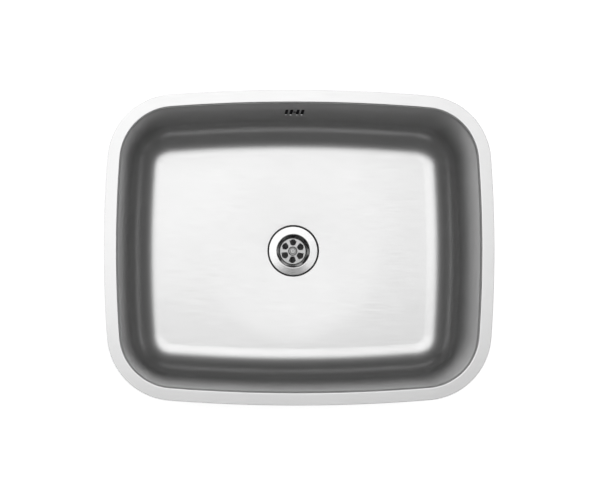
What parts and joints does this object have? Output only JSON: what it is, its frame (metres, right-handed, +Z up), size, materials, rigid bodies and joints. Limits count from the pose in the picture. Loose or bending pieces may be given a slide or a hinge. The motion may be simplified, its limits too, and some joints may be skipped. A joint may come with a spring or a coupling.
{
  "type": "undermount kitchen sink",
  "caption": "Undermount single-bowl sink in satin stainless steel with a flat flange, strainer waste, slotted overflow and ribbed overflow hose.",
  "frame": {"origin": "centre of the bowl's mouth on the flange's top face, where the worktop's underside rests", "axes": "+X to the right along the long side, +Y to the back where the overflow is, +Z up out of the bowl"},
  "size_m": [0.53, 0.4349, 0.254],
  "materials": {
    "bowl_steel": "satin brushed stainless steel sheet",
    "strainer_steel": "polished pressed stainless steel",
    "screw_steel": "turned stainless steel",
    "screw_dark": "blackened stainless steel",
    "insert_brass": "turned brass",
    "fitting_plastic": "moulded polypropylene, black, fine grain",
    "nut_plastic": "moulded polypropylene, black",
    "hose_plastic": "flexible ribbed polyethylene, grey",
    "seal_rubber": "soft black rubber",
    "pad_compound": "sound-deadening compound, dull grey"
  },
  "bodies": {
    "root": {"bowl": "bowl_steel", "sound_pad_left": "pad_compound", "sound_pad_right": "pad_compound", "waste_strainer": "strainer_steel", "strainer_seal": "seal_rubber", "waste_body": "fitting_plastic", "waste_body_seal": "seal_rubber", "waste_insert": "insert_brass", "waste_screw": "screw_steel", "overflow_seal": "seal_rubber", "overflow_housing": "fitting_plastic", "overflow_screw": "screw_dark", "overflow_hose": "hose_plastic", "hose_nut_upper": "nut_plastic", "hose_nut_lower": "nut_plastic", "hose_seal_upper": "seal_rubber", "hose_seal_lower": "seal_rubber"}
  },
  "joints": []
}
